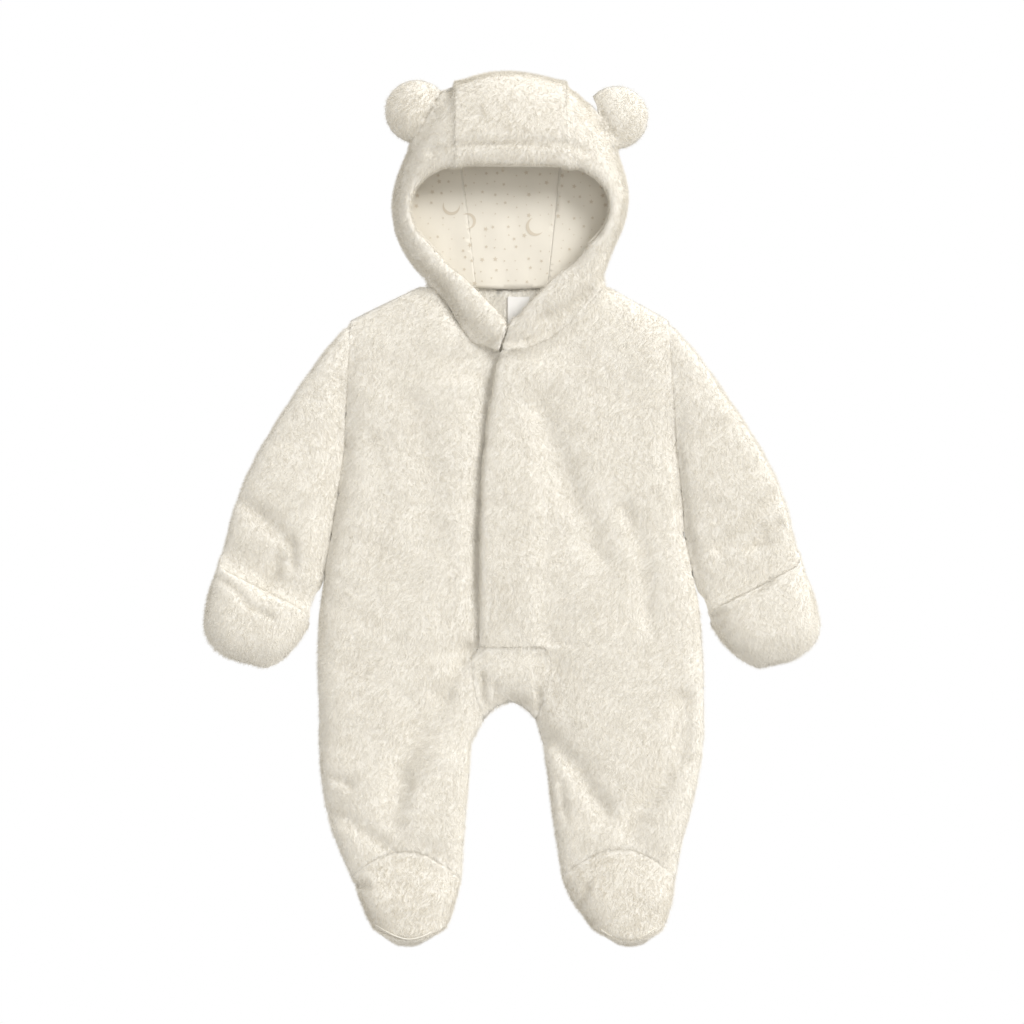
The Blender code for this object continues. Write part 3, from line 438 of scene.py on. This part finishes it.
def nearest_other(places, node, nodes):
    """Distance of each point from the nearest other piece."""
    tree = tree_of([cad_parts[name] for name in nodes if name != node])
    found = [tree.find_nearest(Vector(place), NEIGHBOUR_REACH)[3] for place in places]
    return np.array([NEIGHBOUR_REACH if distance is None else distance for distance in found])


def creased(places, normals):
    """How far each point goes down into the creases."""
    depth = np.zeros(len(places))
    for points, deep, width in CREASES:
        distance = polyline_distance(places[:, :2], points)
        depth += CREASE_STRENGTH * deep * MM * np.exp(-((distance / (width * MM)) ** 2))
    depth = DEEPEST * np.tanh(depth / DEEPEST)
    depth += sum(height * waves(places, size, seed) for height, size, seed in CLOTH_WAVES)
    on_top = np.clip(normals[:, 2] * 2.0, 0.0, 1.0) * (places[:, 2] > CREASE_LEVEL)
    return depth * on_top


def uncovered(places, normals, layers):
    """1 for the points of a shell that no other layer covers, and 0 for the rest."""
    shown = np.ones(len(places))
    for index, (place, normal) in enumerate(zip(places, normals)):
        way = Vector(normal).normalized()
        if layers.ray_cast(Vector(place) + way * COVER_START, way, COVER_REACH)[0] is not None:
            shown[index] = 0.0
    return shown


def outer_faces(shell, covering):
    """The shell's faces, and which of them no other layer covers."""
    places, triangles = mesh_arrays(shell.data)
    corners = places[triangles]
    normals = np.cross(corners[:, 1] - corners[:, 0], corners[:, 2] - corners[:, 0])
    areas = np.linalg.norm(normals, axis=1) / 2
    normals /= np.maximum(areas[:, None] * 2, 1e-12)
    centres = corners.mean(axis=1)
    free = np.zeros(len(triangles), bool)
    for index, (centre, normal) in enumerate(zip(centres, normals)):
        start = Vector(centre) + Vector(normal) * FACE_START
        free[index] = covering.ray_cast(start, Vector(normal), FACE_REACH)[0] is None
    return places, triangles, areas, normals, free


def tree_of(objects):
    vertices = []
    faces = []
    for obj in objects:
        places, triangles = mesh_arrays(obj.data)
        start = len(vertices)
        vertices.extend(Vector(place) for place in places)
        faces.extend(tuple(int(corner) + start for corner in triangle) for triangle in triangles)
    return BVHTree.FromPolygons(vertices, faces)


def seam_distance(centres, node):
    """Distance of each point from the nearest other piece of the same layer."""
    lower = node in LOWER
    hidden = HIDDEN_SEAM if node in HIDDEN_SEAM else set()
    layer = [name for name in CUTS if (name in LOWER) == lower and name not in hidden]
    return nearest_other(centres, node, layer)


def pile_direction(places, normals, node):
    """The way the pile is brushed: mostly down the garment, wandering a little."""
    nap = np.zeros_like(places)
    nap[:, 1] = -1.0
    nap[:, 0] = 0.55 * waves(places, 0.16, 11) + 0.35 * waves(places, 0.05, 12)
    nap[:, 2] = -0.1
    if node.startswith("hood") or node.startswith("ear"):
        nap[:, 0] += np.tanh(places[:, 0] / 0.04) * 0.4
    nap -= (nap * normals).sum(axis=1, keepdims=True) * normals
    return nap / np.maximum(np.linalg.norm(nap, axis=1, keepdims=True), 1e-6)


def cell_random(cells, salt):
    """A fixed number from 0 to 1 for each cell."""
    value = np.sin(cells @ np.array([12.9898, 78.233, 37.719]) + salt) * 43758.5453
    return value - np.floor(value)


def blades(node, shell, faces, count, seed):
    """Roots, tips and tints of a piece's pile."""
    places, triangles, weights, seam = faces
    rng = np.random.default_rng(seed)
    chosen = rng.choice(len(triangles), size=count, p=weights / weights.sum())
    u = np.sqrt(rng.random(count))
    v = rng.random(count)
    shares = np.stack([1 - u, u * (1 - v), u * v], axis=1)
    roots = (places[triangles[chosen]] * shares[:, :, None]).sum(axis=1)
    normals = (vertex_normals(shell.data)[triangles[chosen]] * shares[:, :, None]).sum(axis=1)
    normals /= np.maximum(np.linalg.norm(normals, axis=1, keepdims=True), 1e-6)
    along = pile_direction(roots, normals, node)
    side = np.cross(normals, along)
    cells = np.floor(roots / CLUMP)
    jitter = np.stack([cell_random(cells, salt) for salt in (1.0, 2.0, 3.0)], axis=1)
    pull = (cells + jitter) * CLUMP - roots
    pull -= (pull * normals).sum(axis=1, keepdims=True) * normals
    lift = BLADE_LIFT + 0.10 * waves(roots, 0.045, 21) + rng.normal(0, 0.16, count)
    sway = rng.normal(0, BLADE_SWAY, count)
    short = SEAM_SHORT + (1 - SEAM_SHORT) * np.clip(seam[chosen] / SEAM_REACH, 0, 1)
    under = np.where(normals[:, 2] < -0.5, UNDER_SHORT, 1.0)
    length = PILE * rng.uniform(0.7, 1.1, count) * short * under
    direction = normals * np.sin(lift)[:, None] + along * np.cos(lift)[:, None] + side * sway[:, None]
    direction /= np.linalg.norm(direction, axis=1, keepdims=True)
    tips = roots + direction * length[:, None] + pull * CLUMP_PULL
    tips[:, 2] = np.maximum(tips[:, 2], TIP_CLEAR)
    spin = rng.uniform(0, math.pi, count)
    across = side * np.cos(spin)[:, None] + normals * np.sin(spin)[:, None] * 0.6
    across *= (BLADE_WIDTH / 2) * rng.uniform(0.7, 1.2, count)[:, None]
    # the piece's own value is painted shade; the waves and noise give the pile's uneven tone
    tint = PAINTED_SHADE_TINTS.get(node, 0.5) + 0.06 * waves(roots, 0.06, 31)
    tint += rng.normal(0, 0.04, count)
    return roots, tips, across, np.clip(tint, 0, 1)


def blade_object(name, roots, tips, across, tint, material):
    count = len(roots)
    vertices = np.stack([roots - across, roots + across, tips], axis=1).reshape(-1, 3)
    mesh = bpy.data.meshes.new(name)
    mesh.vertices.add(count * 3)
    mesh.vertices.foreach_set("co", vertices.ravel())
    mesh.loops.add(count * 3)
    mesh.loops.foreach_set("vertex_index", np.arange(count * 3))
    mesh.polygons.add(count)
    mesh.polygons.foreach_set("loop_start", np.arange(0, count * 3, 3))
    mesh.update()
    layer = mesh.attributes.new("pile", "FLOAT", "POINT")
    layer.data.foreach_set("value", np.repeat(tint, 3))
    mesh.materials.append(material)
    obj = bpy.data.objects.new(name, mesh)
    bpy.context.scene.collection.objects.link(obj)
    return obj


def principled(name, colour, roughness, sheen=0.0):
    material = bpy.data.materials.new(name)
    material.use_nodes = True
    shader = material.node_tree.nodes["Principled BSDF"]
    shader.inputs["Base Color"].default_value = (*colour, 1.0)
    shader.inputs["Roughness"].default_value = roughness
    shader.inputs["Specular IOR Level"].default_value = 0.15
    shader.inputs["Sheen Weight"].default_value = sheen
    return material


def mixed_colour(material, source, dark, light):
    """Drives the base colour from dark to light by an output socket."""
    tree = material.node_tree
    mix = tree.nodes.new("ShaderNodeMix")
    mix.data_type = "RGBA"
    mix.inputs["A"].default_value = (*dark, 1.0)
    mix.inputs["B"].default_value = (*light, 1.0)
    tree.links.new(source, mix.inputs["Factor"])
    tree.links.new(mix.outputs["Result"], tree.nodes["Principled BSDF"].inputs["Base Color"])
    return mix


def pile_material():
    material = principled("pile", PLUSH, 0.9, sheen=0.15)
    tree = material.node_tree
    attribute = tree.nodes.new("ShaderNodeAttribute")
    attribute.attribute_name = "pile"
    tint = mixed_colour(material, attribute.outputs["Fac"], PLUSH_DARK, PLUSH_LIGHT)
    shader = tree.nodes["Principled BSDF"]
    glow = tree.nodes.new("ShaderNodeBsdfTranslucent")
    tree.links.new(tint.outputs["Result"], glow.inputs["Color"])
    both = tree.nodes.new("ShaderNodeMixShader")
    both.inputs["Fac"].default_value = GLOW_SHARE
    tree.links.new(shader.outputs["BSDF"], both.inputs[1])
    tree.links.new(glow.outputs["BSDF"], both.inputs[2])
    tree.links.new(both.outputs["Shader"], tree.nodes["Material Output"].inputs["Surface"])
    return material


def backing_material():
    material = principled("plush backing", PLUSH_DARK, 0.95)
    tree = material.node_tree
    noise = tree.nodes.new("ShaderNodeTexNoise")
    noise.inputs["Scale"].default_value = 240.0
    mixed_colour(material, noise.outputs["Fac"], PLUSH_DARK, PLUSH_LIGHT)
    return material


def jersey_material():
    material = principled("jersey", JERSEY, 0.85, sheen=0.1)
    tree = material.node_tree
    noise = tree.nodes.new("ShaderNodeTexNoise")
    noise.inputs["Scale"].default_value = 900.0
    bump = tree.nodes.new("ShaderNodeBump")
    bump.inputs["Strength"].default_value = 0.25
    bump.inputs["Distance"].default_value = 0.4 * MM
    tree.links.new(noise.outputs["Fac"], bump.inputs["Height"])
    tree.links.new(bump.outputs["Normal"], tree.nodes["Principled BSDF"].inputs["Normal"])
    mixed_colour(material, noise.outputs["Fac"], tuple(0.96 * part for part in JERSEY), JERSEY)
    return material


def finish_piece(obj, node=None):
    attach(obj, "root")
    if node:
        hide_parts(node)


def plush_shells():
    """The shells of all the plush pieces, closed, creased and set in."""
    shells = [fine_copy(node) for node in CUTS]
    for shell, node in zip(shells, CUTS):
        places = mesh_arrays(shell.data)[0]
        seam = nearest_other(places, node, CUTS)
        places = smoothed(shell.data, np.clip((seam - SEAM_FIXED) / SEAM_FREE, 0, 1), SHELL_SMOOTHING)
        places = closed_up(places, node, CUTS)
        shell.data.vertices.foreach_set("co", places.ravel())
        shell.data.update()
    filled_seams(dict(zip(CUTS, shells)))
    normals = shared_normals(shells)
    layers = tree_of([*shells, *[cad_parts[name] for name in LININGS]])
    backing = backing_material()
    for shell in shells:
        places = mesh_arrays(shell.data)[0]
        normal = normals[shell.name]
        shown = uncovered(places, normal, layers)
        places = places - normal * INSET * shown[:, None]
        places[:, 2] -= creased(places, normal) * shown
        places[:, 2] = np.maximum(places[:, 2], FLOOR_CLEAR)
        shell.data.vertices.foreach_set("co", places.ravel())
        shell.data.update()
        shell.data.shade_smooth()
        shell.data.materials.append(backing)
    return shells


def plush_pieces():
    shells = plush_shells()
    pile = pile_material()
    covering = tree_of([*shells, *[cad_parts[name] for name in [*LININGS, "neck_label"]]])
    prepared = {}
    for shell, node in zip(shells, CUTS):
        places, triangles, areas, face_normals, free = outer_faces(shell, covering)
        seam = seam_distance(places[triangles].mean(axis=1), node)
        share = np.where(face_normals[:, 2] < -0.5, UNDER_SHARE, 1.0)
        share += SIDE_EXTRA * (np.abs(face_normals[:, 2]) < 0.5)
        prepared[node] = (places, triangles, areas * free * share, seam)
    total = sum(faces[2].sum() for faces in prepared.values())
    amount = 1.0
    for number, (shell, node) in enumerate(zip(shells, CUTS)):
        faces = prepared[node]
        count = int(BLADE_TOTAL * amount * faces[2].sum() / total)
        roots, tips, across, tint = blades(node, shell, faces, count, 100 + number)
        if amount < 1:
            across = across * QUICK_WIDTH
        for start in range(0, count, BLADES_A_PIECE):
            part = slice(start, start + BLADES_A_PIECE)
            name = f"pile_{node}_{start // BLADES_A_PIECE + 1}"
            piece = blade_object(name, roots[part], tips[part], across[part], tint[part], pile)
            finish_piece(piece)
        finish_piece(shell, node)
    toe_seams([shell for shell in shells if "foot" in shell.name])


def lining_pieces():
    jersey = jersey_material()
    shells = []
    for node, (width, length, area) in LININGS.items():
        obj = fine_copy(node)
        places = mesh_arrays(obj.data)[0]
        places = closed_up(places, node, LININGS)
        places[:, 2] += JERSEY_LIFT * (1 + waves(places, 0.035, 41))
        obj.data.vertices.foreach_set("co", places.ravel())
        obj.data.materials.append(jersey)
        obj.data.shade_smooth()
        finish_piece(obj, node)
        shells.append((obj, width, length, area))
    printed = print_motifs([shell[0] for shell in shells])


def crescent(x, y, radius, turn):
    """A crescent moon as a strip of four-sided rings."""
    outer_angles = np.linspace(math.radians(MOON_OUTER[0]), math.radians(MOON_OUTER[1]), MOON_POINTS)
    inner_angles = np.linspace(math.radians(MOON_INNER[0]), math.radians(MOON_INNER[1]), MOON_POINTS)
    outer = [(math.cos(a), math.sin(a)) for a in outer_angles]
    inner = [(MOON_SHIFT + MOON_BITE * math.cos(a), MOON_BITE * math.sin(a)) for a in inner_angles]
    angle = math.radians(turn)
    cosine = radius * math.cos(angle)
    sine = radius * math.sin(angle)
    outer = [(x + px * cosine - py * sine, y + px * sine + py * cosine) for px, py in outer]
    inner = [(x + px * cosine - py * sine, y + px * sine + py * cosine) for px, py in inner]
    return [[outer[i], outer[i + 1], inner[i + 1], inner[i]] for i in range(len(outer) - 1)]


def star(x, y, radius, turn, points):
    ring = []
    for step in range(points * 2):
        angle = turn + math.pi * step / points
        reach = radius if step % 2 == 0 else radius * STAR_WAIST
        ring.append((x + reach * math.cos(angle), y + reach * math.sin(angle)))
    return ring


def print_motifs(shells):
    """The printed motifs, laid on the jersey where it faces up."""
    tree = tree_of(shells)
    rng = np.random.default_rng(7)
    rings = [ring for moon in MOONS for ring in crescent(*moon)]
    for x in np.arange(*MOTIF_X, MOTIF_GAP):
        for y in np.arange(*MOTIF_Y, MOTIF_GAP):
            px = x + rng.uniform(-MOTIF_WANDER, MOTIF_WANDER)
            py = y + rng.uniform(-MOTIF_WANDER, MOTIF_WANDER)
            if min(math.hypot(px - moon[0], py - moon[1]) - moon[2] for moon in MOONS) < MOON_CLEAR:
                continue
            size = rng.choice(MOTIF_SIZES, p=MOTIF_SHARES)
            rings.append(star(px, py, size, rng.uniform(0, 6.28), 5 if size > STAR_SIZE else 3))
    form = bmesh.new()
    for ring in rings:
        corners = []
        for x, y in ring:
            hit = tree.ray_cast(Vector((x * MM, y * MM, ABOVE_ALL)), Vector((0, 0, -1)))
            if hit[0] is None:
                break
            corners.append(form.verts.new(hit[0] + Vector((0, 0, PRINT_LIFT))))
        if len(corners) == len(ring):
            form.faces.new(corners)
    bmesh.ops.triangulate(form, faces=form.faces)
    mesh = bpy.data.meshes.new("lining_print")
    form.to_mesh(mesh)
    form.free()
    mesh.materials.append(principled("print", PRINT, 0.9))
    obj = bpy.data.objects.new("lining_print", mesh)
    bpy.context.scene.collection.objects.link(obj)
    finish_piece(obj)
    return obj


def toe_seams(shells):
    """The ridge of the seam round the toes, which shows through the pile."""
    tree = tree_of(shells)
    material = principled("seam", SEAM, 0.95)
    for side, points in TOE_SEAMS.items():
        curve = bpy.data.curves.new(f"toe_seam_{side}", "CURVE")
        curve.dimensions = "3D"
        curve.bevel_depth = TOE_PIPE
        curve.bevel_resolution = 2
        curve.use_fill_caps = True
        spline = curve.splines.new("NURBS")
        spline.points.add(len(points) - 1)
        spline.use_endpoint_u = True
        for point, (x, y) in zip(spline.points, points):
            hit = tree.ray_cast(Vector((x * MM, y * MM, ABOVE_ALL)), Vector((0, 0, -1)))
            level = hit[0].z if hit[0] else TOE_LEVEL
            point.co = (x * MM, y * MM, level + TOE_LIFT, 1.0)
        obj = bpy.data.objects.new(f"toe_seam_{side}", curve)
        bpy.context.scene.collection.objects.link(obj)
        mesh = evaluated_mesh(obj)
        bpy.data.objects.remove(obj)
        mesh.materials.clear()
        mesh.materials.append(material)
        obj = bpy.data.objects.new(f"toe_seam_{side}", mesh)
        bpy.context.scene.collection.objects.link(obj)
        finish_piece(obj)


def label_piece():
    low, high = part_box("neck_label")
    form = bmesh.new()
    bmesh.ops.create_cube(form, size=1.0)
    bmesh.ops.scale(form, vec=high - low, verts=form.verts)
    bmesh.ops.translate(form, vec=(low + high) / 2, verts=form.verts)
    bmesh.ops.bevel(form, geom=form.edges, offset=0.3 * MM, segments=2, affect="EDGES")
    mesh = bpy.data.meshes.new("label")
    form.to_mesh(mesh)
    form.free()
    mesh.materials.append(principled("label tape", TAPE, 0.5))
    obj = bpy.data.objects.new("label", mesh)
    bpy.context.scene.collection.objects.link(obj)
    finish_piece(obj, "neck_label")


def stage():
    """A white floor, an even warm sky and a wide sun from the upper right."""
    bpy.ops.mesh.primitive_plane_add(size=FLOOR_SIZE)
    floor = bpy.context.object
    floor.name = "floor"
    material = bpy.data.materials.new("white")
    material.use_nodes = True
    tree = material.node_tree
    glow = tree.nodes.new("ShaderNodeEmission")
    glow.inputs["Color"].default_value = (1, 1, 1, 1)
    glow.inputs["Strength"].default_value = 1.0
    tree.links.new(glow.outputs["Emission"], tree.nodes["Material Output"].inputs["Surface"])
    floor.data.materials.append(material)
    world = bpy.data.worlds.new("studio")
    bpy.context.scene.world = world
    world.use_nodes = True
    world.node_tree.nodes["Background"].inputs["Color"].default_value = SKY
    world.node_tree.nodes["Background"].inputs["Strength"].default_value = SKY_STRENGTH
    key = bpy.data.lights.new("key", "SUN")
    key.energy = SUN_STRENGTH
    key.angle = SUN_WIDTH
    key_obj = bpy.data.objects.new("key", key)
    key_obj.rotation_euler = Vector(SUN_WAY).to_track_quat("-Z", "Y").to_euler()
    bpy.context.scene.collection.objects.link(key_obj)


def camera():
    """Looks straight down, as the photo does."""
    data = bpy.data.cameras.new("camera")
    data.sensor_width = SENSOR
    data.lens = SENSOR * CAMERA_DISTANCE / PICTURE_WIDTH
    obj = bpy.data.objects.new("camera", data)
    obj.location = (CAMERA_X, CAMERA_Y, CAMERA_DISTANCE + CAMERA_LEVEL)
    bpy.context.scene.collection.objects.link(obj)
    bpy.context.scene.camera = obj


plush_pieces()
lining_pieces()
label_piece()
stage()
camera()
bpy.context.scene.view_settings.view_transform = "Standard"
